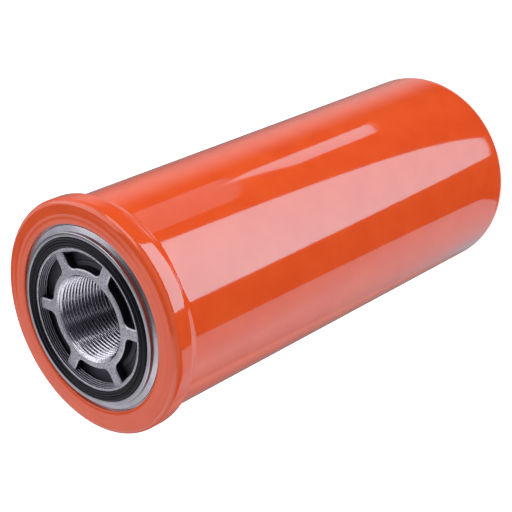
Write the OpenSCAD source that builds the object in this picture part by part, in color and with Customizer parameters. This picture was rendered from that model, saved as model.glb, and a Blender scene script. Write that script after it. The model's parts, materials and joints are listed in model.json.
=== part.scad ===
// Spin-on oil filter: a drawn steel canister with a rolled collar, a die-cast
// thread plate, a face gasket and a spring-loaded pleated element with its own
// bypass valve. Millimetres, +Z up. The closed end stands on z = 0 and the
// gasket faces up. Every turned piece is an outline of [radius, height] points.

/* [Canister] */
// Diameter of the straight body
body_d = 115; // [114:0.5:116]
// Diameter of the collar at the open end
collar_d = 122; // [121:0.5:123]
// Height from the closed end to the top of the gasket
total_h = 287; // [280:1:340]
// Sheet thickness of the can
can_wall = 1.8; // [1.6:0.1:1.9]
// Outer radius of the closed end's corner
corner_r = 12.6; // [10:0.2:14]
// Height of the collar's straight band
collar_band = 6.2; // [5:0.2:7]
// Height of the curve from the body to the collar
neck_h = 7.4; // [7:0.1:7.8]
// Radius that rounds the collar over into the lip
lip_round = 3.3; // [2.8:0.1:3.5]
// Inner radius of the rolled lip
lip_r = 48.4; // [48:0.1:49]

/* [Thread plate] */
// Minor radius of the mounting thread
thread_minor_r = 21.2; // [20:0.01:21.3]
// Radius of the countersink at the hub's face
mouth_r = 22.9; // [22.5:0.1:23.5]
// Outside radius of the hub
hub_r = 26.1; // [25.8:0.1:26.4]
// Length of the hub
hub_h = 35; // [28:1:40]
// Number of inlet windows
windows = 6; // [4:1:8]
// Width of the spokes between the windows
spoke_w = 6.5; // [5:0.5:8]
// Angle of the first spoke, about the filter's axis
spoke_angle = 47; // [0:1:60]
// Depth of the spokes
spoke_h = 5.3; // [4:0.1:5.6]

/* [Gasket] */
// Inner radius of the gasket
gasket_in_r = 37.25; // [37.2:0.05:37.4]
// Outer radius of the gasket
gasket_out_r = 42.25; // [42:0.05:42.3]
// How far the gasket stands above the two rims that hold it
gasket_proud = 1; // [0.6:0.1:1.4]

/* [Element] */
// Number of pleats
pleats = 52; // [44:1:54]
// Radius at the pleats' inner folds
pleat_in_r = 32; // [31.8:0.1:32.4]
// Radius at the pleats' outer folds
pleat_out_r = 47.6; // [46:0.2:47.8]
// Height of the element's underside above the closed end
element_z = 31; // [30:1:36]
// Height of the element between the outer faces of its end caps
element_h = 234; // [200:1:236]

/* [Springs] */
// Mean radius of the element spring's coils
spring_r = 21.5; // [20:0.5:22]
// Wire diameter of the element spring
spring_wire = 3.4; // [2.8:0.2:3.6]
// Mean radius of the bypass spring's coils
bypass_spring_r = 9.2; // [9:0.1:10]
// Wire diameter of the bypass spring
bypass_wire = 1.6; // [1.2:0.1:1.6]

/* [Hidden] */
$fn = 96;
// Clearance between pieces that are seated on each other
seat = 0.05;

// Heights, from the gasket down
rim_z = total_h - gasket_proud;
hub_z = rim_z - 1.4;
lip_z = hub_z;
shoulder_z = lip_z - 0.8;
groove_z = rim_z - 5.4;
flange_z = groove_z - 0.8;
web_z = flange_z - 4.8;
spoke_z = hub_z - spoke_h;

// Canister
body_r = body_d / 2;
collar_r = collar_d / 2;
foot_in_r = 36;
panel_r = 32;
panel_z = 2.6;
lip_t = 2;
lip_crown = 0.35;
band_top = lip_z - lip_round;
band_bottom = band_top - collar_band;
neck_bottom = band_bottom - neck_h;
// The neck is two equal arcs that meet on a slope
neck_turn = 2 * atan((collar_r - body_r) / neck_h);
neck_r = neck_h / (2 * sin(neck_turn));

// Thread plate
plate_r = collar_r - can_wall - 0.5;
rim_in_r = 35.7;
rim_out_r = 37.1;
rim_steps = 4;
step_w = 0.42;
step_h = 0.95;
window_r = rim_in_r - rim_steps * step_w;
hub_fillet = 3.5;
o_ring_d = 3;
o_ring_z = web_z + 1.8;

// Undercut behind the rim's steps, down to the ledge that the drain valve seats on
undercut_z = rim_z - rim_steps * step_h - 0.2;
undercut_r = 36.6;
ledge_r = 38.4;
ledge_z = spoke_z - 0.7;
web_in_r = 42;
hinge_r = 28.6;

// Retainer ring
wall_in_r = gasket_out_r + 0.15;
wall_out_r = 44.8;

// Element
cap_t = 1;
top_cap_z = element_z + element_h - cap_t;
potting_h = 3;
mesh_t = 0.3;
media_t = 0.8;
layer_gap = 0.05;
inner_fold_w = 1.7;
outer_fold_w = 0.35;
tube_r = 31;
tube_t = 1;
skirt_r = 51.8;
skirt_t = 0.8;
skirt_h = 6;
pleat_bottom = element_z + cap_t + potting_h + 2 * seat;
pleat_top = top_cap_z - potting_h - 2 * seat;

// Depths of the pleats' layers, out from their downstream face
media_d = mesh_t + layer_gap;
upstream_d = media_d + media_t + layer_gap;
pack_d = upstream_d + mesh_t;

// Bypass valve
port_r = 10.5;
spigot_r = 15;
valve_flange_r = 19.5;
valve_z = element_z + cap_t + seat;
seat_t = 1.2;
washer_t = 1;
poppet_r = 13.3;
poppet_z = valve_z + seat_t + washer_t + 2 * seat;
poppet_t = 2.4;
stem_r = 3;
cage_r = 16.2;
cage_t = 0.8;
cage_top = valve_z + 28;

// Points along an arc about [x, z] from angle a0 to a1
function arc(x, z, r, a0, a1, n = 8) =
    [for (i = [0:n]) let (a = a0 + (a1 - a0) * i / n) [x + r * cos(a), z + r * sin(a)]];

function reversed(points) = [for (i = [len(points) - 1:-1:0]) points[i]];

module turned(points) {
    rotate_extrude() polygon(points);
}

module ring(r_in, r_out, z0, z1) {
    turned([[r_in, z0], [r_out, z0], [r_out, z1], [r_in, z1]]);
}

// ---- Canister ------------------------------------------------------------

// Neck curve at a distance in from the outer skin, from the body up to the collar
function neck(inset) = concat(
    arc(body_r + neck_r, neck_bottom, neck_r + inset, 180, 180 - neck_turn, 6),
    arc(collar_r - neck_r, band_bottom, neck_r - inset, -neck_turn, 0, 6)
);

// Crowned top of the lip, from the collar's rounding to the inner edge
function lip_top() =
    let (outer = collar_r - lip_round, span = outer - lip_r)
    [for (i = [1:7]) let (t = i / 8)
        [outer - span * t, lip_z + lip_crown * sin(180 * t) * (0.6 + 0.4 * t)]];

module canister() {
    lip_in = lip_z - lip_t;
    skin = concat(
        [[0, panel_z], [panel_r, panel_z], [foot_in_r, 0]],
        arc(body_r - corner_r, corner_r, corner_r, -90, 0, 10),
        neck(0),
        arc(collar_r - lip_round, band_top, lip_round, 0, 90, 8),
        lip_top(),
        arc(lip_r + 0.5, lip_z - 0.5, 0.5, 90, 180, 4)
    );
    inside = concat(
        [[0, panel_z + can_wall], [panel_r + 0.4, panel_z + can_wall], [foot_in_r + 0.4, can_wall]],
        arc(body_r - corner_r, corner_r, corner_r - can_wall, -90, 0, 10),
        neck(can_wall),
        arc(collar_r - lip_round, band_top, lip_round - can_wall, 0, 60, 3),
        [[collar_r - lip_round - 0.6, lip_in], [lip_r, lip_in]]
    );
    color("orangered") turned(concat(skin, reversed(inside)));
}

// ---- Open end ------------------------------------------------------------

// Side of an inlet window, from inside the hub, round the fillet and out along the spoke
function window_side(side) =
    let (
        hw = spoke_w / 2,
        y = hw + hub_fillet,
        x = sqrt(pow(hub_r + hub_fillet, 2) - pow(y, 2)),
        meets = atan2(y, x),
        overrun = hub_r - 1,
        points = concat(
            [[overrun * cos(meets - 2), overrun * sin(meets - 2)]],
            arc(x, y, hub_fillet, meets - 168, -90, 6),
            [[rim_in_r + 2, hw]]
        )
    )
    [for (p = points) [p[0], side * p[1]]];

function turn(points, a) =
    [for (p = points) [p[0] * cos(a) - p[1] * sin(a), p[0] * sin(a) + p[1] * cos(a)]];

// Cutter for one window. It runs on into the hub and the rim, whose own walls close it.
function window_outline() =
    let (pitch = 360 / windows, corner = rim_in_r + 4)
    concat(
        window_side(1),
        [[corner * cos(pitch / 3), corner * sin(pitch / 3)]],
        [[corner * cos(pitch * 2 / 3), corner * sin(pitch * 2 / 3)]],
        reversed(turn(window_side(-1), pitch)),
        [[(hub_r - 3) * cos(pitch / 2), (hub_r - 3) * sin(pitch / 2)]]
    );

// Puts a copy of its children at each spoke's angle
module at_spokes() {
    for (i = [0:windows - 1]) rotate([0, 0, spoke_angle + i * 360 / windows]) children();
}

module thread_plate() {
    body = [
        [web_in_r, web_z], [52, web_z], [53.2, web_z - 4], [plate_r - 2.5, web_z - 4],
        [plate_r, web_z - 0.7], [plate_r, flange_z], [wall_in_r - 0.1, flange_z],
        [wall_in_r - 0.1, groove_z], [rim_out_r, groove_z], [rim_out_r, rim_z], [rim_in_r, rim_z],
        for (i = [0:rim_steps - 1]) each [
            [rim_in_r - i * step_w, rim_z - (i + 1) * step_h],
            [rim_in_r - (i + 1) * step_w, rim_z - (i + 1) * step_h]
        ],
        [window_r, undercut_z], [undercut_r, spoke_z + 0.1], [undercut_r, ledge_z], [ledge_r, ledge_z]
    ];
    mouth_h = mouth_r - thread_minor_r;
    color("silver") difference() {
        union() {
            turned(body);
            difference() {
                translate([0, 0, spoke_z]) cylinder(r = rim_in_r + 0.4, h = spoke_h);
                at_spokes()
                    translate([0, 0, spoke_z - 1])
                        linear_extrude(spoke_h + 2) polygon(window_outline());
            }
            translate([0, 0, hub_z - hub_h]) cylinder(r = hub_r, h = hub_h);
        }
        translate([0, 0, hub_z - hub_h - 1]) cylinder(r = thread_minor_r, h = hub_h + 2);
        translate([0, 0, hub_z - mouth_h]) cylinder(r1 = thread_minor_r, r2 = mouth_r, h = mouth_h);
        // groove for the O-ring that seals the plate in the can
        ring(plate_r - 2.6, plate_r + 1, o_ring_z - 1.6, o_ring_z + 1.6);
    }
}

module retainer_ring() {
    flange_top = lip_z - lip_t - seat;
    color("lightgray") turned([
        [wall_in_r, flange_z + seat], [plate_r, flange_z + seat], [plate_r, flange_top - 1],
        [plate_r - 1, flange_top], [lip_r - 0.3, flange_top], [lip_r - 0.3, shoulder_z - 0.3],
        [lip_r - 0.6, shoulder_z], [wall_out_r, shoulder_z],
        each arc(wall_out_r - 0.5, rim_z - 0.5, 0.5, 0, 90, 3),
        each arc(wall_in_r + 0.4, rim_z - 0.4, 0.4, 90, 180, 3)
    ]);
}

// Two rounded ridges with a groove between them, on a flat base
module gasket() {
    width = gasket_out_r - gasket_in_r;
    steps = 16;
    color("#202024") turned(concat(
        [[gasket_in_r, groove_z + seat], [gasket_out_r, groove_z + seat]],
        [for (i = [0:steps]) let (t = i / steps)
            [gasket_out_r - width * t, total_h - 0.75 + 0.75 * pow(abs(sin(360 * t)), 0.6)]]
    ));
}

module plate_o_ring() {
    color("#202024") translate([0, 0, o_ring_z])
        rotate_extrude() translate([plate_r - 2.6 + seat + o_ring_d / 2, 0]) circle(d = o_ring_d);
}

// ---- Anti-drain-back valve -------------------------------------------------

// Sleeve that grips the hub, under the spokes
module drain_valve_collar() {
    bottom = spoke_z - 9;
    color("#26262a") turned([
        [hub_r + seat, bottom], [hinge_r - 1.4, bottom], [hinge_r, bottom + 2],
        [hinge_r, spoke_z - seat], [hub_r + seat, spoke_z - seat]
    ]);
}

// Flap that closes the windows from below and seals on the ledge around them
module drain_valve_lip() {
    top = ledge_z - seat;
    tip_r = ledge_r - 0.4;
    color("#26262a") turned([
        [hinge_r + 0.1, top - 2], [tip_r, top - 1], [tip_r, top], [hinge_r + 0.1, top]
    ]);
}

// ---- Element ---------------------------------------------------------------

// Rubber lip that seals the element to the hub
module hub_grommet() {
    in_r = hub_r + seat;
    tube_in = tube_r - tube_t;
    color("#303034") turned([
        [in_r, top_cap_z - 4], [in_r + 1.4, top_cap_z - 4], [tube_in - 0.1, top_cap_z - 2.6],
        [tube_in - 0.1, top_cap_z - seat], [tube_in - 0.6, top_cap_z - seat],
        [tube_in - 0.6, top_cap_z + cap_t + seat], [tube_in + 1.8, top_cap_z + cap_t + seat],
        [tube_in + 1.8, top_cap_z + cap_t + 0.9], [in_r, top_cap_z + cap_t + 0.9]
    ]);
}

// Stamped cap outline: hole radius, height of the disc's outer face, and the way its skirt points
module end_cap(hole_r, z, up) {
    s = up ? 1 : -1;
    color("gainsboro") turned([
        [hole_r, z], [skirt_r - 1, z], [skirt_r, z + s], [skirt_r, z + s * skirt_h],
        [skirt_r - skirt_t, z + s * skirt_h], [skirt_r - skirt_t, z + s * cap_t], [hole_r, z + s * cap_t]
    ]);
}

module top_end_cap() {
    end_cap(tube_r - tube_t - 0.55, top_cap_z + cap_t, false);
}

module bottom_end_cap() {
    end_cap(spigot_r, element_z, true);
}

module top_potting() {
    color("#7a8a6a") ring(tube_r + seat, skirt_r - skirt_t - seat, pleat_top + seat, top_cap_z - seat);
}

module bottom_potting() {
    color("#7a8a6a")
        ring(tube_r + seat, skirt_r - skirt_t - seat, element_z + cap_t + seat, pleat_bottom - seat);
}

// Zigzag outline at a distance out from the pleats' downstream face
function pleat_path(d) =
    let (
        half = 180 / pleats,
        in_a = (inner_fold_w - d) / pleat_in_r * 180 / PI,
        out_a = (outer_fold_w + d) / pleat_out_r * 180 / PI
    )
    [for (i = [0:pleats - 1]) let (c = i * 2 * half) each [
        for (f = [
            [pleat_out_r + d, c - out_a], [pleat_out_r + d, c + out_a],
            [pleat_in_r + d, c + half - in_a], [pleat_in_r + d, c + half + in_a]
        ]) [f[0] * cos(f[1]), f[0] * sin(f[1])]
    ]];

module pleated(d0, thickness) {
    outside = pleat_path(d0 + thickness);
    inside = pleat_path(d0);
    n = len(outside);
    translate([0, 0, pleat_bottom]) linear_extrude(pleat_top - pleat_bottom)
        polygon(concat(outside, inside), [[for (i = [0:n - 1]) i], [for (i = [0:n - 1]) n + i]]);
}

module downstream_mesh() {
    color("slategray") pleated(0, mesh_t);
}

module filter_media() {
    color("ivory") pleated(media_d, media_t);
}

module upstream_mesh() {
    color("slategray") pleated(upstream_d, mesh_t);
}

// Folded strip that joins the two ends of the pleat pack
module seam_clip() {
    in_w = outer_fold_w + pack_d + 0.15;
    t = 0.45;
    crown = pleat_out_r + pack_d + 0.05;
    edge = crown - 7;
    color("silver") translate([0, 0, pleat_bottom]) linear_extrude(pleat_top - pleat_bottom) difference() {
        translate([edge, -in_w - t]) square([crown + t - edge, 2 * (in_w + t)]);
        translate([edge - 1, -in_w]) square([crown - edge + 1, 2 * in_w]);
    }
}

// Three bands that hold the pleats' spacing
module pleat_bands() {
    r = pleat_out_r + pack_d + 0.65;
    pitch = (pleat_top - pleat_bottom) / 4;
    color("wheat") for (i = [1:3])
        ring(r, r + 0.5, pleat_bottom + i * pitch - 3.5, pleat_bottom + i * pitch + 3.5);
}

module centre_tube() {
    hole_r = 3;
    per_row = 8;
    row_pitch = 16;
    bottom = element_z + cap_t + seat;
    height = top_cap_z - seat - bottom;
    rows = floor((height - 20) / row_pitch);
    color("lightsteelblue") difference() {
        ring(tube_r - tube_t, tube_r, bottom, bottom + height);
        for (row = [0:rows - 1], i = [0:per_row - 1])
            rotate([0, 0, (i + (row % 2) / 2) * 360 / per_row])
                translate([tube_r - 3, 0, bottom + 14 + row * row_pitch])
                    rotate([0, 90, 0]) cylinder(r = hole_r, h = 5, $fn = 24);
    }
}

// ---- Bypass valve ------------------------------------------------------------

module bypass_seat() {
    bottom = element_z - 1.2;
    color("silver") turned([
        [port_r, bottom], [spigot_r - seat, bottom], [spigot_r - seat, valve_z], [valve_flange_r, valve_z],
        [valve_flange_r, valve_z + seat_t], [port_r, valve_z + seat_t]
    ]);
}

module bypass_washer() {
    bottom = valve_z + seat_t + seat;
    color("#303034") ring(port_r + 0.3, poppet_r + 0.6, bottom, bottom + washer_t);
}

module bypass_poppet() {
    top = poppet_z + poppet_t;
    stem_top = cage_top + 2;
    color("ivory") turned([
        [0, poppet_z], [poppet_r, poppet_z], [poppet_r, top], [7, top], [6.2, top + 3],
        [stem_r, top + 4], [stem_r, stem_top - 0.8], [stem_r - 0.8, stem_top], [0, stem_top]
    ]);
}

// Bridge that holds the bypass spring, with four side slots for the oil
module bypass_cage() {
    foot_z = valve_z + seat_t + seat;
    slot_w = 12;
    color("silver") difference() {
        turned([
            [cage_r - cage_t, foot_z], [valve_flange_r, foot_z], [valve_flange_r, foot_z + cage_t],
            [cage_r, foot_z + cage_t], [cage_r, cage_top - 1], [cage_r - 1, cage_top],
            [stem_r + 0.4, cage_top], [stem_r + 0.4, cage_top - cage_t], [cage_r - cage_t, cage_top - cage_t]
        ]);
        for (i = [0:3]) rotate([0, 0, 45 + i * 90])
            translate([cage_r - 4, -slot_w / 2, foot_z + 3]) cube([8, slot_w, cage_top - foot_z - 7]);
    }
}

// Rings of points that sweep a round wire along a coil, its end turns lying flat
module coil(r, wire, z0, z1, turns, sides = 10, per_turn = 28) {
    n = round(turns * per_turn);
    flat = 0.8 / turns;
    rise = z1 - z0 - wire - 2 * wire * 0.85;
    function coil_z(t) =
        t < flat ? wire * 0.85 * t / flat
        : t > 1 - flat ? wire * 0.85 + rise + wire * 0.85 * (t - 1 + flat) / flat
        : wire * 0.85 + rise * (t - flat) / (1 - 2 * flat);
    points = [for (i = [0:n], k = [0:sides - 1])
        let (
            t = i / n, a = 360 * turns * t, b = 360 * k / sides,
            out = r + wire / 2 * cos(b), up = z0 + wire / 2 + coil_z(t) + wire / 2 * sin(b)
        )
        [out * cos(a), out * sin(a), up]];
    skin = [for (i = [0:n - 1], k = [0:sides - 1]) let (j = (k + 1) % sides)
        each [[i * sides + k, (i + 1) * sides + k, (i + 1) * sides + j],
              [i * sides + k, (i + 1) * sides + j, i * sides + j]]];
    polyhedron(points, concat(
        skin,
        [[for (k = [0:sides - 1]) k]],
        [[for (k = [sides - 1:-1:0]) n * sides + k]]
    ), convexity = 10);
}

module bypass_spring() {
    color("lightgray")
        coil(bypass_spring_r, bypass_wire, poppet_z + poppet_t + seat, cage_top - cage_t - seat, 6, 8, 24);
}

// ---- Element spring ------------------------------------------------------------

cup_t = 1;
cup_z = element_z - seat - 1.3;

// Pressed ring that centres the spring under the element
module spring_cup() {
    wall_r = spring_r + spring_wire / 2 + 0.2;
    color("silver") turned([
        [14.2, cup_z - cup_t], [wall_r, cup_z - cup_t], [wall_r, cup_z - 3.8], [wall_r + cup_t, cup_z - 3.8],
        [wall_r + cup_t, cup_z - 0.6], [wall_r + 1.8, cup_z], [wall_r + 1.8, cup_z + 1.25],
        [spring_r - 1, cup_z + 1.25], [spring_r - 1, cup_z], [14.2, cup_z]
    ]);
}

module element_spring() {
    color("dimgray")
        coil(spring_r, spring_wire, panel_z + can_wall + seat, cup_z - cup_t - seat, 4.5);
}

canister();
thread_plate();
retainer_ring();
gasket();
plate_o_ring();
drain_valve_collar();
drain_valve_lip();
hub_grommet();
top_end_cap();
bottom_end_cap();
top_potting();
bottom_potting();
filter_media();
upstream_mesh();
downstream_mesh();
seam_clip();
pleat_bands();
centre_tube();
bypass_seat();
bypass_washer();
bypass_poppet();
bypass_cage();
bypass_spring();
spring_cup();
element_spring();
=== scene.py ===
"""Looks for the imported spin-on oil filter.

The pieces that the photo shows are turned, cut and threaded here, and so are the springs. Every
piece gets its material.
"""

import json
import math

import bpy
from mathutils import Matrix, Vector


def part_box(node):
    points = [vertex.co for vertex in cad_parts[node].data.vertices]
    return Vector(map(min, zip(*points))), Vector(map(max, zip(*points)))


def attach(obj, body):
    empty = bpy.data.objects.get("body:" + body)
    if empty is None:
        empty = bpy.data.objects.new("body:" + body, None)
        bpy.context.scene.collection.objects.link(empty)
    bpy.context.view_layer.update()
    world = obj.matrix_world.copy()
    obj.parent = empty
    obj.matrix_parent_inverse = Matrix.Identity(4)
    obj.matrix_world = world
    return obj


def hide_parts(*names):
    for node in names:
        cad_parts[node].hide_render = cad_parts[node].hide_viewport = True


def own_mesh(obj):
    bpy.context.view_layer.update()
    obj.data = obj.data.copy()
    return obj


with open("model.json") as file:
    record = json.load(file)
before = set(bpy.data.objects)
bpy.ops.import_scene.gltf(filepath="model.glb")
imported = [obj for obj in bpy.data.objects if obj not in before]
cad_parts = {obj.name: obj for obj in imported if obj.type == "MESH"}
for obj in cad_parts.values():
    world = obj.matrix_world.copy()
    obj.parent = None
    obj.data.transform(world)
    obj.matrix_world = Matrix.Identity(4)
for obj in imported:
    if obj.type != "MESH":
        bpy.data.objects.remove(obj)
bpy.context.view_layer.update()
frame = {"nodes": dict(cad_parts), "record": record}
record = frame["record"]

MM = 0.001

# Sides of every turned piece
SEGMENTS = 192

# ---- Sizes, in millimetres, as in the CAD model --------------------------------------

# Heights, from the gasket's face down
GASKET_Z = 287
RIM_Z = GASKET_Z - 1
HUB_Z = RIM_Z - 1.4
SHOULDER_Z = HUB_Z - 0.8
GROOVE_Z = RIM_Z - 5.4
FLANGE_Z = GROOVE_Z - 0.8
WEB_Z = FLANGE_Z - 4.8

# Canister
CAN_R = 57.5
COLLAR_R = 61
CAN_WALL = 1.8
CORNER_R = 12.6
FOOT_IN_R = 36
PANEL_R = 32
PANEL_Z = 2.6
LIP_ROUND = 3.3
LIP_R = 48.4
LIP_T = 2
BAND_TOP = HUB_Z - LIP_ROUND
BAND_BOTTOM = BAND_TOP - 6.2
NECK_BOTTOM = BAND_BOTTOM - 7.4

# Retainer ring and gasket
RING_IN_R = 42.4
RING_OUT_R = 44.8
RING_EDGE_R = LIP_R - 0.8
GASKET_IN_R = 37.25
GASKET_OUT_R = 42.25

# Thread plate
PLATE_R = COLLAR_R - CAN_WALL - 0.5
SEAL_R = PLATE_R - 2.6
SEAL_Z = WEB_Z + 1.8
SEAL_HALF = 1.6
RIM_IN_R = 35.7
RIM_OUT_R = 37.1
STEPS = 4
STEP_W = 0.42
STEP_H = 0.95
WINDOW_R = RIM_IN_R - STEPS * STEP_W
WINDOWS = 6
SPOKE_ANGLE = 47
SPOKE_W = 6.5
SPOKE_H = 5.3
SPOKE_Z = HUB_Z - SPOKE_H
HUB_R = 26.1
HUB_H = 35
HUB_FILLET = 3.5
MOUTH_R = 22.9
EDGE_ROUND = 1.0
LEDGE_R = 38.4
LEDGE_Z = SPOKE_Z - 0.7

# Drain valve
HINGE_R = 28.6
SLEEVE_H = 9
FLAP_T = 2
FLAP_TIP_T = 1.1

# Clearance between pieces that are seated on each other
SEAT = 0.05

# 1 3/4-12 UN internal thread
PITCH = 25.4 / 12
THREAD_MAJOR_R = 1.75 * 25.4 / 2
THREAD_MINOR_R = 21.2


# ---- Mesh helpers --------------------------------------------------------------------


def polar(r, angle):
    """The point at a radius and an angle in degrees."""
    a = math.radians(angle)
    return r * math.cos(a), r * math.sin(a)


def arc(x, z, r, a0, a1, n=8):
    """Points on an arc about (x, z), from angle a0 to a1 in degrees."""
    spokes = [polar(r, a0 + (a1 - a0) * i / n) for i in range(n + 1)]
    return [(x + dx, z + dz) for dx, dz in spokes]


def shade(obj, angle):
    """Smooth shading, except where faces meet at more than an angle in degrees."""
    obj.data.shade_smooth()
    obj.data.set_sharp_from_angle(angle=math.radians(angle))


def make_object(name, verts, faces, smooth_angle=32):
    """A mesh object from points in millimetres."""
    mesh = bpy.data.meshes.new(name)
    mesh.from_pydata([Vector(v) * MM for v in verts], [], faces)
    mesh.validate()
    obj = bpy.data.objects.new(name, mesh)
    bpy.context.scene.collection.objects.link(obj)
    shade(obj, smooth_angle)
    return obj


def tube_faces(rows, count):
    """The faces of a closed tube: a cap, the quads between rows of count points, and a cap."""
    faces = [tuple(range(count))[::-1], tuple(range((rows - 1) * count, rows * count))]
    for low in range(0, (rows - 1) * count, count):
        high = low + count
        for k in range(count):
            j = (k + 1) % count
            faces.append((low + k, low + j, high + j, high + k))
    return faces


def revolve(name, outline, smooth_angle=32):
    """Turns a closed counter-clockwise outline of (radius, height) points about the Z axis."""
    verts, rings = [], []
    for r, z in outline:
        count = 1 if r == 0 else SEGMENTS
        rings.append(range(len(verts), len(verts) + count))
        verts += [(*polar(r, 360 * k / SEGMENTS), z) for k in range(count)]
    faces = []
    for low, high in zip(rings, rings[1:] + rings[:1]):
        if len(low) == 1 and len(high) == 1:
            continue
        for k in range(SEGMENTS):
            j = (k + 1) % SEGMENTS
            if len(low) == 1:
                faces.append((low[0], high[j], high[k]))
            elif len(high) == 1:
                faces.append((low[k], low[j], high[0]))
            else:
                faces.append((low[k], low[j], high[j], high[k]))
    return make_object(name, verts, faces, smooth_angle)


def apply_modifiers(obj):
    """Replaces the object's mesh with the one that its modifiers make."""
    evaluated = obj.evaluated_get(bpy.context.evaluated_depsgraph_get())
    mesh = bpy.data.meshes.new_from_object(evaluated)
    obj.modifiers.clear()
    obj.data = mesh


def combine(obj, tool, operation):
    """Adds the tool to the object or cuts it away, and removes the tool."""
    modifier = obj.modifiers.new(operation, "BOOLEAN")
    modifier.operation = operation
    modifier.solver = "EXACT"
    modifier.object = tool
    apply_modifiers(obj)
    bpy.data.objects.remove(tool)


# ---- Shapes --------------------------------------------------------------------------


def neck(inset):
    """The neck's curve at a distance in from the outer surface, from the body up to the collar."""
    height = BAND_BOTTOM - NECK_BOTTOM
    turn = 2 * math.degrees(math.atan((COLLAR_R - CAN_R) / height))
    r = height / (2 * math.sin(math.radians(turn)))
    lower = arc(CAN_R + r, NECK_BOTTOM, r + inset, 180, 180 - turn, 10)
    upper = arc(COLLAR_R - r, BAND_BOTTOM, r - inset, -turn, 0, 10)
    return lower + upper[1:]


def make_canister():
    """The can: a foot round a recessed panel, a straight body, a neck, a collar and a rolled lip.

    The lip's flat has a low ridge halfway across, and falls away to its inner edge.
    """
    flat_out = CAN_R - CORNER_R
    crown_in, crown_out = LIP_R + 0.6, COLLAR_R - LIP_ROUND
    ridge_h, ridge_at, ridge_w = 0.1, 0.45, 0.1
    fall_h, fall_from = 0.2, 0.8
    steps = 16
    crown = []
    for i in range(1, steps):
        t = i / steps
        ridge = ridge_h * math.exp(-(((t - ridge_at) / ridge_w) ** 2))
        fall = fall_h * max(0, (t - fall_from) / (1 - fall_from)) ** 1.5
        crown.append((crown_out + (crown_in - crown_out) * t, HUB_Z + ridge - fall))
    outside = (
        [(0, PANEL_Z), (PANEL_R - 1, PANEL_Z)]
        + arc(PANEL_R, PANEL_Z - 1, 1, 90, 30, 4)
        + arc(FOOT_IN_R, 1, 1, 210, 270, 4)
        + arc(flat_out, CORNER_R, CORNER_R, -90, 0, 20)
        + neck(0)
        + arc(crown_out, BAND_TOP, LIP_ROUND, 0, 90, 12)
        + crown
        + arc(crown_in, HUB_Z - fall_h - 0.6, 0.6, 90, 180, 5)
    )
    panel_top = PANEL_Z + CAN_WALL
    inside = (
        [(0, panel_top), (PANEL_R + 0.4, panel_top), (FOOT_IN_R + 0.4, CAN_WALL)]
        + arc(flat_out, CORNER_R, CORNER_R - CAN_WALL, -90, 0, 12)
        + neck(CAN_WALL)
        + arc(crown_out, BAND_TOP, LIP_ROUND - CAN_WALL, 0, 60, 3)
        + [(crown_out - 0.6, HUB_Z - LIP_T), (LIP_R, HUB_Z - LIP_T)]
    )
    return revolve("canister_shell", outside + inside[::-1])


def make_retainer_ring():
    """A flange under the can's lip, a shoulder that falls outward, and a raised rim."""
    bottom, flange_top = FLANGE_Z + SEAT, HUB_Z - LIP_T - SEAT
    fall, edge_r, rim_r = 0.35, 0.4, 0.35
    flange = [
        (RING_IN_R, bottom),
        (PLATE_R, bottom),
        (PLATE_R, flange_top - 1),
        (PLATE_R - 1, flange_top),
        (RING_EDGE_R, flange_top),
    ]
    rim_foot = [
        (RING_OUT_R + 0.4, SHOULDER_Z),
        (RING_OUT_R + 0.1, SHOULDER_Z + 0.1),
        (RING_OUT_R, SHOULDER_Z + 0.4),
    ]
    return revolve(
        "retainer_ring_turned",
        flange
        + arc(RING_EDGE_R - edge_r, SHOULDER_Z - fall - edge_r, edge_r, 0, 80, 4)
        + rim_foot
        + arc(RING_OUT_R - edge_r, RIM_Z - edge_r, edge_r, 0, 90, 5)
        + arc(RING_IN_R + rim_r, RIM_Z - rim_r, rim_r, 90, 180, 5),
    )


def make_gasket():
    """A flat base under two rounded ridges with a groove between them."""
    steps, ridge_h = 48, 0.75
    ridges = []
    for i in range(steps + 1):
        t = i / steps
        lift = abs(math.sin(2 * math.pi * t)) ** 0.6
        r = GASKET_OUT_R + (GASKET_IN_R - GASKET_OUT_R) * t
        ridges.append((r, GASKET_Z - ridge_h + ridge_h * lift))
    base = [(GASKET_IN_R, GROOVE_Z + SEAT), (GASKET_OUT_R, GROOVE_Z + SEAT)]
    return revolve("gasket_ring", base + ridges, smooth_angle=50)


def make_o_ring():
    r, sides = 1.5, 24
    section = arc(SEAL_R + SEAT + r, SEAL_Z, r, 0, 360 - 360 / sides, sides - 1)
    return revolve("plate_o_ring_round", section)


def window_outline(turn):
    """One window, turned by an angle about the axis.

    It is filleted at the hub, straight along two spokes, and run on into the rim's wall.
    """
    pitch = 360 / WINDOWS
    half, far = SPOKE_W / 2, RIM_IN_R + 2
    y = half + HUB_FILLET
    x = math.sqrt((HUB_R + HUB_FILLET) ** 2 - y**2)
    meets = math.degrees(math.atan2(y, x))
    reach = math.degrees(math.asin(half / far))
    side = arc(x, y, HUB_FILLET, meets - 180, -90, 8) + [polar(far, reach)]
    side += arc(0, 0, far, reach + 5, pitch / 2, 4)
    outline = [(math.hypot(px, py), math.degrees(math.atan2(py, px))) for px, py in side]
    outline += [(r, pitch - a) for r, a in outline[-2::-1]]
    outline += [(HUB_R, pitch - meets - (pitch - 2 * meets) * i / 8) for i in range(1, 8)]
    return [polar(r, a + turn) for r, a in outline]


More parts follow.
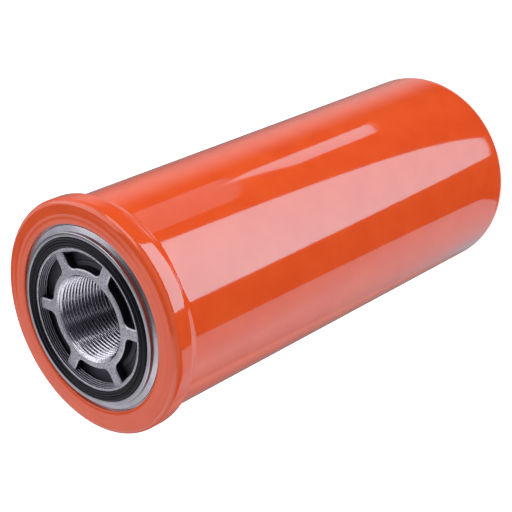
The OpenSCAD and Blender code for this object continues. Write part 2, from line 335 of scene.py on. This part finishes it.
def make_window_tool(turn):
    """The solid that one window leaves empty, flared at both faces to round the casting's edges."""
    outline = window_outline(turn)
    normals = []
    for back, ahead in zip(outline[-1:] + outline[:-1], outline[1:] + outline[:1]):
        along = Vector((ahead[0] - back[0], ahead[1] - back[1])).normalized()
        normals.append((along.y, -along.x))
    round_bottom = arc(0, SPOKE_Z + EDGE_ROUND, EDGE_ROUND, -90, 0, 5)
    round_top = arc(0, HUB_Z - EDGE_ROUND, EDGE_ROUND, 0, 90, 5)
    levels = [(0, SPOKE_Z - 1)] + round_bottom + round_top + [(0, HUB_Z + 1)]
    verts = []
    for x, z in levels:
        out = EDGE_ROUND - x
        verts += [(px + nx * out, py + ny * out, z) for (px, py), (nx, ny) in zip(outline, normals)]
    return make_object("window_tool", verts, tube_faces(len(levels), len(outline)))


def thread_radius(z, angle):
    """Radius of the 60 degree internal thread at a height and an angle in degrees."""
    turn = (z / PITCH - angle / 360) % 1
    root_flat, crest_from = 1 / 8, 3 / 4
    slope = (abs(turn - 0.5) * 2 - root_flat) / (crest_from - root_flat)
    return THREAD_MAJOR_R + (THREAD_MINOR_R - THREAD_MAJOR_R) * min(max(slope, 0), 1)


def make_thread_tool():
    """The solid that the hub's mouth and thread leave empty."""
    segments, per_pitch, exit_chamfer = 120, 12, 1.6
    bottom, top = HUB_Z - HUB_H - 1, HUB_Z + 1
    rows = round((top - bottom) * per_pitch / PITCH)
    verts = []
    for i in range(rows + 1):
        z = bottom + (top - bottom) * i / rows
        mouth = MOUTH_R + (z - HUB_Z)
        exit_r = THREAD_MINOR_R + exit_chamfer - (z - HUB_Z + HUB_H)
        for k in range(segments):
            angle = 360 * k / segments
            r = max(thread_radius(z, angle), mouth, exit_r)
            verts.append((*polar(r, angle), z))
    return make_object("thread_tool", verts, tube_faces(rows + 1, segments))


def make_plate():
    """The casting: a turned web, flange, groove and stepped rim, then the spokes and the hub."""
    web_in, skirt_in, skirt_h, groove_out = 42, 52, 4, 42.3
    rim_round, step_edge = 0.35, 0.06
    lower = [
        (web_in, WEB_Z),
        (skirt_in, WEB_Z),
        (skirt_in + 1.2, WEB_Z - skirt_h),
        (PLATE_R - 2.5, WEB_Z - skirt_h),
        (PLATE_R, WEB_Z - 0.7),
        (PLATE_R, SEAL_Z - SEAL_HALF),
        (SEAL_R, SEAL_Z - SEAL_HALF),
        (SEAL_R, SEAL_Z + SEAL_HALF),
        (PLATE_R, SEAL_Z + SEAL_HALF),
        (PLATE_R, FLANGE_Z),
        (groove_out, FLANGE_Z),
        (groove_out, GROOVE_Z),
        (RIM_OUT_R, GROOVE_Z),
    ]
    rim_top = arc(RIM_OUT_R - rim_round, RIM_Z - rim_round, rim_round, 0, 90, 4)
    rim_top += arc(RIM_IN_R + rim_round, RIM_Z - rim_round, rim_round, 90, 180, 4)
    steps = []
    for i in range(STEPS):
        r, z = RIM_IN_R - i * STEP_W, RIM_Z - (i + 1) * STEP_H
        steps += [(r, z), (r - STEP_W + step_edge, z), (r - STEP_W, z - step_edge)]
    undercut_r = LEDGE_R - 1.8
    undercut = [
        (WINDOW_R, steps[-1][1] - 0.15),
        (undercut_r, SPOKE_Z + 0.1),
        (undercut_r, LEDGE_Z),
        (LEDGE_R, LEDGE_Z),
    ]
    plate = revolve("thread_plate_cast", lower + rim_top + steps + undercut)
    disc_r = RIM_IN_R + 0.4
    spider = revolve("spider", [(0, SPOKE_Z), (disc_r, SPOKE_Z), (disc_r, HUB_Z), (0, HUB_Z)])
    for i in range(WINDOWS):
        combine(spider, make_window_tool(SPOKE_ANGLE + i * 360 / WINDOWS), "DIFFERENCE")
    combine(plate, spider, "UNION")
    low, top, wall = HUB_Z - HUB_H, HUB_Z - 1.5, HUB_R - 0.05
    hub = revolve("hub", [(0, low), (wall - 1, low), (wall, low + 1), (wall, top), (0, top)])
    combine(plate, hub, "UNION")
    combine(plate, make_thread_tool(), "DIFFERENCE")
    shade(plate, 28)
    return plate


def make_drain_sleeve():
    """The rubber sleeve on the hub that the flap hinges on."""
    r_in, low, high = HUB_R + SEAT, SPOKE_Z - SLEEVE_H, SPOKE_Z - SEAT
    bottom_r, top_r = 1.4, 0.5
    return revolve(
        "drain_valve_sleeve",
        [(r_in, low), (HINGE_R - bottom_r, low)]
        + arc(HINGE_R - bottom_r, low + bottom_r, bottom_r, -60, 0, 4)
        + arc(HINGE_R - top_r, high - top_r, top_r, 0, 90, 4)
        + [(r_in, high)],
    )


def make_drain_flap():
    """The rubber flap that seals on the ledge behind the windows."""
    top, hinge, tip, tip_r = LEDGE_Z - SEAT, HINGE_R + 0.1, LEDGE_R - 0.4, 0.5
    return revolve(
        "drain_valve_flap",
        [(hinge, top - FLAP_T), (tip - 1, top - FLAP_TIP_T)]
        + arc(tip - tip_r, top - tip_r, tip_r, -90, 90, 8)
        + [(hinge, top)],
    )


def coil(name, r, wire, low, high, turns):
    """A round wire wound into a compression spring.

    Each end turn climbs by a little less than the wire's thickness, so it lies almost flat.
    """
    sides, per_turn, end_turns, end_climb = 16, 48, 0.8, 0.85
    steps = round(turns * per_turn)
    flat, dead = end_turns / turns, wire * end_climb
    rise = high - low - wire - 2 * dead
    verts = []
    for i in range(steps + 1):
        t = i / steps
        if t < flat:
            lift = dead * t / flat
        elif t > 1 - flat:
            lift = dead + rise + dead * (t - 1 + flat) / flat
        else:
            lift = dead + rise * (t - flat) / (1 - 2 * flat)
        section = arc(r, low + wire / 2 + lift, wire / 2, 0, -360 + 360 / sides, sides - 1)
        verts += [(*polar(out, 360 * turns * t), z) for out, z in section]
    return make_object(name, verts, tube_faces(steps + 1, sides), 60)


# ---- Materials -----------------------------------------------------------------------


class Graph:
    """A small builder for a node tree."""

    def __init__(self, tree):
        self.tree = tree

    def add(self, kind, **settings):
        node = self.tree.nodes.new(kind)
        for key, value in settings.items():
            setattr(node, key, value)
        return node

    def link(self, source, target):
        self.tree.links.new(source, target)

    def split(self, vector):
        """The X, Y and Z outputs of a vector."""
        node = self.add("ShaderNodeSeparateXYZ")
        self.link(vector, node.inputs[0])
        return node.outputs

    def math(self, operation, a, b):
        """Combines two numbers, each a constant or another node's output."""
        node = self.add("ShaderNodeMath", operation=operation)
        for socket, value in zip(node.inputs, (a, b)):
            if isinstance(value, (int, float)):
                socket.default_value = value
            else:
                self.link(value, socket)
        return node.outputs[0]

    def remap(self, source, low, high, low_at, high_at, smooth=False):
        """Maps the source from low_at..high_at to low..high, and holds it there beyond them."""
        kind = "SMOOTHSTEP" if smooth else "LINEAR"
        node = self.add("ShaderNodeMapRange", interpolation_type=kind)
        ends = {"From Min": low_at, "From Max": high_at, "To Min": low, "To Max": high}
        for name, value in ends.items():
            node.inputs[name].default_value = value
        self.link(source, node.inputs["Value"])
        return node.outputs["Result"]

    def blend_colours(self, factor, first, second):
        """Mixes two colours or two nodes' outputs."""
        node = self.add("ShaderNodeMix", data_type="RGBA")
        self.link(factor, node.inputs["Factor"])
        for name, value in (("A", first), ("B", second)):
            socket = next(i for i in node.inputs if i.name == name and i.type == "RGBA")
            if isinstance(value, tuple):
                socket.default_value = (*value, 1)
            else:
                self.link(value, socket)
        return next(o for o in node.outputs if o.type == "RGBA")


class Surface(Graph):
    """The node tree of one material, placed by object coordinates."""

    def __init__(self, name):
        self.material = bpy.data.materials.new(name)
        self.material.use_nodes = True
        super().__init__(self.material.node_tree)
        self.shader = self.tree.nodes["Principled BSDF"]
        self.coords = self.add("ShaderNodeTexCoord").outputs["Object"]

    def noise(self, size_mm, detail=3, stretch=(1, 1, 1)):
        """Noise whose grains are about size_mm across, stretched along the axes."""
        mapping = self.add("ShaderNodeMapping")
        mapping.inputs["Scale"].default_value = [1 / (size_mm * MM * s) for s in stretch]
        self.link(self.coords, mapping.inputs["Vector"])
        noise = self.add("ShaderNodeTexNoise")
        noise.inputs["Scale"].default_value = 1
        noise.inputs["Detail"].default_value = detail
        self.link(mapping.outputs["Vector"], noise.inputs["Vector"])
        return noise.outputs["Fac"]

    def radius(self):
        """Distance from the filter's axis, in millimetres."""
        parts = self.split(self.coords)
        squares = [self.math("POWER", parts[axis], 2) for axis in "XY"]
        return self.math("DIVIDE", self.math("POWER", self.math("ADD", *squares), 0.5), MM)

    def bump(self, source, depth_mm):
        node = self.add("ShaderNodeBump")
        node.inputs["Distance"].default_value = depth_mm * MM
        self.link(source, node.inputs["Height"])
        self.link(node.outputs["Normal"], self.shader.inputs["Normal"])

    def set(self, **values):
        """Sets the shader's inputs, with underscores for the spaces in their names."""
        for key, value in values.items():
            self.shader.inputs[key.replace("_", " ")].default_value = value
        return self.material


def surface(name, tones, roughness, grain, bump, drift=18, stretch=(1, 1, 1), **values):
    """A material whose colour drifts between two tones.

    A fine grain varies its roughness and its bump. The sizes of grain, bump and drift are in
    millimetres, and the other values are the shader's own.
    """
    nodes = Surface(name)
    share = nodes.remap(nodes.noise(drift, 4), 0, 1, 0.35, 0.65)
    grains = nodes.noise(grain, 3, stretch)
    nodes.link(nodes.blend_colours(share, *tones), nodes.shader.inputs["Base Color"])
    nodes.link(nodes.remap(grains, *roughness, 0.35, 0.65), nodes.shader.inputs["Roughness"])
    nodes.bump(grains, bump)
    return nodes.set(**values)


def cast_aluminium():
    """A sandy casting: bright flats, walls darkened near black with painted shade, and a smooth
    thread in the hub.
    """
    nodes = Surface("cast_aluminium")
    normal = nodes.split(nodes.add("ShaderNodeTexCoord").outputs["Normal"])
    # Painted shade: faces that tilt away from straight up fade towards near black, everywhere but
    # the thread
    wall = nodes.remap(normal["Z"], 1, 0, 0.25, 0.65)
    outside_thread = nodes.remap(nodes.radius(), 0, 1, MOUTH_R - 0.2, MOUTH_R + 0.2)
    painted_wall_shade = nodes.math("MULTIPLY", wall, outside_thread)
    grain = nodes.noise(0.6, 4)
    share = nodes.remap(grain, 0, 1, 0.35, 0.65)
    metal = nodes.blend_colours(share, (0.33, 0.32, 0.36), (0.68, 0.665, 0.74))
    # The near-black colour here is painted shade on the walls, not a colour of the metal
    colour = nodes.blend_colours(painted_wall_shade, metal, (0.05, 0.05, 0.065))
    nodes.link(colour, nodes.shader.inputs["Base Color"])
    nodes.link(nodes.remap(outside_thread, 0.2, 0.46, 0, 1), nodes.shader.inputs["Roughness"])
    nodes.bump(nodes.math("MULTIPLY", grain, outside_thread), 0.1)
    return nodes.set(Metallic=1.0)


def wire_mesh():
    """Plain woven wire: two crossed waves, one along the axis and one round it."""
    wire_mm = 0.3
    nodes = Surface("wire_mesh")
    heights = []
    for direction in ("Z", "DIAGONAL"):
        wave = nodes.add("ShaderNodeTexWave", wave_type="BANDS", bands_direction=direction)
        wave.inputs["Scale"].default_value = 1 / (wire_mm * MM * 20)
        nodes.link(nodes.coords, wave.inputs["Vector"])
        heights.append(wave.outputs["Fac"])
    height = nodes.math("MAXIMUM", *heights)
    # Painted shade: the colour darkens into the low parts of the weave, between the wires
    colour = nodes.blend_colours(height, (0.10, 0.10, 0.10), (0.50, 0.50, 0.50))
    nodes.link(colour, nodes.shader.inputs["Base Color"])
    nodes.bump(height, wire_mm / 2)
    return nodes.set(Metallic=0.9, Roughness=0.4)


# The sizes of grain, bump and drift are in millimetres, and the capitalised values are the shader's
SURFACES = {
    "orange_paint": dict(
        tones=((0.80, 0.085, 0.016), (0.84, 0.10, 0.02)),
        roughness=(0.06, 0.10), grain=1.3, bump=0.018, Coat_Weight=0.5, Coat_Roughness=0.03,
    ),
    "zinc_plate": dict(
        tones=((0.41, 0.40, 0.44), (0.50, 0.485, 0.53)),
        roughness=(0.2, 0.26), grain=0.5, bump=0.0015, drift=10, Metallic=1.0,
    ),
    "nitrile": dict(
        tones=((0.005, 0.005, 0.009), (0.008, 0.008, 0.013)),
        roughness=(0.2, 0.3), grain=0.8, bump=0.01, drift=8, Specular_IOR_Level=0.15,
    ),
    "nitrile_seal": dict(
        tones=((0.012, 0.012, 0.013), (0.02, 0.02, 0.022)),
        roughness=(0.32, 0.45), grain=0.6, bump=0.02, drift=8,
    ),
    "valve_rubber": dict(
        tones=((0.075, 0.072, 0.095), (0.09, 0.087, 0.11)),
        roughness=(0.5, 0.65), grain=0.5, bump=0.03, drift=8,
    ),
    "grommet_rubber": dict(
        tones=((0.02, 0.02, 0.022), (0.035, 0.035, 0.038)),
        roughness=(0.5, 0.65), grain=0.5, bump=0.03, drift=8,
    ),
    "cap_tinplate": dict(
        tones=((0.58, 0.58, 0.55), (0.70, 0.70, 0.68)),
        roughness=(0.22, 0.36), grain=0.3, bump=0.006, drift=14, Metallic=1.0, stretch=(6, 1, 1),
    ),
    "plastisol": dict(
        tones=((0.10, 0.16, 0.07), (0.15, 0.22, 0.10)),
        roughness=(0.35, 0.5), grain=2.0, bump=0.08, drift=6,
    ),
    "filter_paper": dict(
        tones=((0.62, 0.50, 0.30), (0.78, 0.68, 0.46)),
        roughness=(0.8, 0.95), grain=0.35, bump=0.06, drift=4, stretch=(1, 1, 3),
    ),
    "band_fibre": dict(
        tones=((0.60, 0.54, 0.38), (0.76, 0.70, 0.52)),
        roughness=(0.75, 0.9), grain=0.4, bump=0.05, drift=5,
    ),
    "tube_steel": dict(
        tones=((0.42, 0.42, 0.43), (0.56, 0.56, 0.57)),
        roughness=(0.28, 0.42), grain=0.3, bump=0.01, drift=12, Metallic=1.0, stretch=(1, 1, 8),
    ),
    "valve_steel": dict(
        tones=((0.50, 0.50, 0.50), (0.64, 0.64, 0.64)),
        roughness=(0.24, 0.36), grain=0.3, bump=0.008, drift=8, Metallic=1.0,
    ),
    "nylon": dict(
        tones=((0.66, 0.62, 0.52), (0.76, 0.73, 0.64)),
        roughness=(0.3, 0.42), grain=0.8, bump=0.02, drift=6,
    ),
    "spring_steel": dict(
        tones=((0.24, 0.24, 0.25), (0.38, 0.38, 0.39)),
        roughness=(0.26, 0.4), grain=0.25, bump=0.01, drift=5, Metallic=1.0, stretch=(1, 1, 4),
    ),
}


# ---- Pieces --------------------------------------------------------------------------

materials = {name: surface(name, **values) for name, values in SURFACES.items()}
materials["cast_aluminium"] = cast_aluminium()
materials["wire_mesh"] = wire_mesh()
slot_of = {part["node"]: part["material_slot"] for part in record["subparts"]}

for node, obj in frame["nodes"].items():
    obj.data.materials.clear()
    obj.data.materials.append(materials[slot_of[node]])


def place(piece, body, node):
    """Rides a finished piece on a body, in place of a CAD node and in that node's material."""
    slot = slot_of[node]
    piece.data.materials.clear()
    piece.data.materials.append(materials[slot])
    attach(piece, body)
    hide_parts(node)
    return piece


def make_spring(name, node, body, r, wire, turns):
    """A coil spring in place of a CAD spring, on a mesh of its own."""
    low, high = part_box(node)
    spring = place(coil(name, r, wire, low.z / MM, high.z / MM, turns), body, node)
    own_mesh(spring)


place(make_canister(), "housing", "canister")
place(make_plate(), "housing", "thread_plate")
place(make_retainer_ring(), "housing", "retainer_ring")
place(make_gasket(), "housing", "gasket")
place(make_o_ring(), "housing", "plate_o_ring")
place(make_drain_sleeve(), "housing", "drain_valve_collar")
place(make_drain_flap(), "drain_valve_lip", "drain_valve_lip")

make_spring(
    "element_spring_wire", "element_spring", "housing",
    r=21.5, wire=3.4, turns=4.5,
)
make_spring(
    "bypass_spring_wire", "bypass_spring", "element",
    r=9.2, wire=1.6, turns=6,
)

# ---- Stage ---------------------------------------------------------------------------

scene = bpy.context.scene
scene.view_settings.view_transform = "Standard"

# Direction over the filter and away from the camera, in degrees from +X
BEHIND = 197

# The cards' height in millimetres. Their colour makes orange paint reflect pink.
CARD_Z = -71
CARD_COLOUR = (0.32, 0.92, 1.1)


def make_floor():
    """Pale paper that hides the cards below it from the camera, but not from the filter's paint."""
    size = 6000
    corners = [(-size, -size, 0), (size, -size, 0), (size, size, 0), (-size, size, 0)]
    floor = make_object("floor", corners, [(0, 1, 2, 3)])
    paper = surface(
        "floor_paper", ((0.90, 0.90, 0.90), (0.92, 0.92, 0.92)),
        roughness=(0.85, 0.95), grain=0.6, bump=0.01, drift=200,
        Emission_Color=(1, 1, 1, 1), Emission_Strength=0.72,
    )
    floor.data.materials.append(paper)
    floor.visible_glossy = False


def make_card(name, outline, strength, fade=(0, 1, 1)):
    """A flat glowing card below the floor, which shows only in reflections.

    The outline's (x, y) points and the fade's first two values are in millimetres. The glow
    changes along X, from the share fade[2] of its strength at fade[0] to all of it at fade[1].
    """
    corners = [(x, y, CARD_Z) for x, y in outline]
    card = make_object(name, corners, [tuple(range(len(corners)))])
    material = bpy.data.materials.new(name)
    material.use_nodes = True
    material.cycles.emission_sampling = "NONE"
    nodes = Graph(material.node_tree)
    nodes.tree.nodes.clear()
    x = nodes.split(nodes.add("ShaderNodeTexCoord").outputs["Object"])["X"]
    start, end, share = fade
    glow = nodes.add("ShaderNodeEmission")
    glow.inputs["Color"].default_value = (*CARD_COLOUR, 1)
    power = nodes.remap(x, strength * share, strength, start * MM, end * MM)
    nodes.link(power, glow.inputs["Strength"])
    nodes.link(glow.outputs[0], nodes.add("ShaderNodeOutputMaterial").inputs["Surface"])
    card.visible_camera = False
    card.data.materials.append(material)


def make_world():
    """Soft light from above and from behind, which reaches the filter as reflections too.

    Above the floor it has a dim zenith and a dark gap to one side of the middle. Below the floor,
    where only reflections look, it glows behind the filter.
    """
    world = bpy.data.worlds.new("studio")
    scene.world = world
    world.use_nodes = True
    nodes = Graph(world.node_tree)
    direction = nodes.add("ShaderNodeTexCoord").outputs["Generated"]

    def toward(angle):
        """How far a direction points toward an angle about the Z axis, from -1 to 1."""
        dot = nodes.add("ShaderNodeVectorMath", operation="DOT_PRODUCT")
        dot.inputs[1].default_value = (*polar(1, angle), 0)
        nodes.link(direction, dot.inputs[0])
        return dot.outputs["Value"]

    up = nodes.split(direction)["Z"]
    behind, sideways = toward(BEHIND), toward(BEHIND + 90)

    zenith = nodes.remap(up, 0.6, 0.1, 0.72, 0.93, smooth=True)
    above = nodes.math("MULTIPLY", zenith, nodes.remap(behind, 0.8, 1.4, -0.7, 0.7))
    gap_start = nodes.remap(sideways, 0.18, 1, -0.09, -0.02, smooth=True)
    gap_end = nodes.remap(sideways, 1, 0, -0.36, -0.2, smooth=True)
    in_front = nodes.remap(behind, 1, 0, 0.4, 0.6)
    gap = nodes.math("MAXIMUM", nodes.math("MAXIMUM", gap_start, gap_end), in_front)
    above = nodes.math("MULTIPLY", above, gap)

    glow = nodes.remap(behind, 0.02, 0.5, 0.0, 0.35, smooth=True)
    middle = nodes.remap(behind, 1, 0.45, 0.4, 0.68, smooth=True)
    below = nodes.math("MULTIPLY", glow, middle)

    is_up = nodes.remap(up, 0, 1, -0.05, 0.05)
    lower_part = nodes.math("MULTIPLY", below, nodes.math("SUBTRACT", 1, is_up))
    strength = nodes.math("ADD", nodes.math("MULTIPLY", above, is_up), lower_part)
    background = world.node_tree.nodes["Background"]
    background.inputs["Color"].default_value = (0.95, 0.95, 1, 1)
    nodes.link(strength, background.inputs["Strength"])


def make_light(name, azimuth, elevation, size, watts):
    """A square softbox that faces the filter's open end, from a direction in degrees."""
    distance = 1.2
    across, height = polar(distance, elevation)
    offset = Vector((*polar(across, azimuth), height))
    data = bpy.data.lights.new(name, "AREA")
    data.shape = "SQUARE"
    data.size = size
    data.energy = watts
    light = bpy.data.objects.new(name, data)
    light.location = Vector((0, 0, GASKET_Z * MM)) + offset
    light.rotation_mode = "QUATERNION"
    light.rotation_quaternion = (-offset).to_track_quat("-Z", "Y")
    scene.collection.objects.link(light)


def make_camera():
    """The photo's view, from a fit of the canister's outline in perspective."""
    location = Vector((0.5345, 0.1603, 0.6780))
    right = Vector((0.7105, -0.2175, -0.6692))
    up = Vector((0, 0.9510, -0.3091))
    data = bpy.data.cameras.new("camera")
    data.sensor_width = 36
    data.lens = 97.95
    camera = bpy.data.objects.new("camera", data)
    axes = Matrix((right, up, right.cross(up))).transposed()
    camera.matrix_world = Matrix.Translation(location) @ axes.to_4x4()
    scene.collection.objects.link(camera)
    scene.camera = camera


make_floor()
make_world()
make_camera()

make_card("softbox", [(700, -115), (380, 640), (112, 40), (118, 2)], 4.6, fade=(80, 350, 0.6))
make_card("side_band", [(185, 433), (-53, 466), (-25, 327), (139, 302)], 0.6)
make_card("wedge", [(60, 172), (72, 250), (20, 335), (5, 300), (17, 179)], 2)
make_card(
    "low_wall", [(100, -75), (420, -400), (-100, -620), (-30, -90)], 1.0, fade=(-50, 100, 0.4)
)

make_light("thread_light", azimuth=265, elevation=45, size=1.1, watts=2.8)
make_light("fill_light", azimuth=132, elevation=40, size=1.0, watts=3.6)
make_light("side_light", azimuth=75, elevation=20, size=0.8, watts=4)
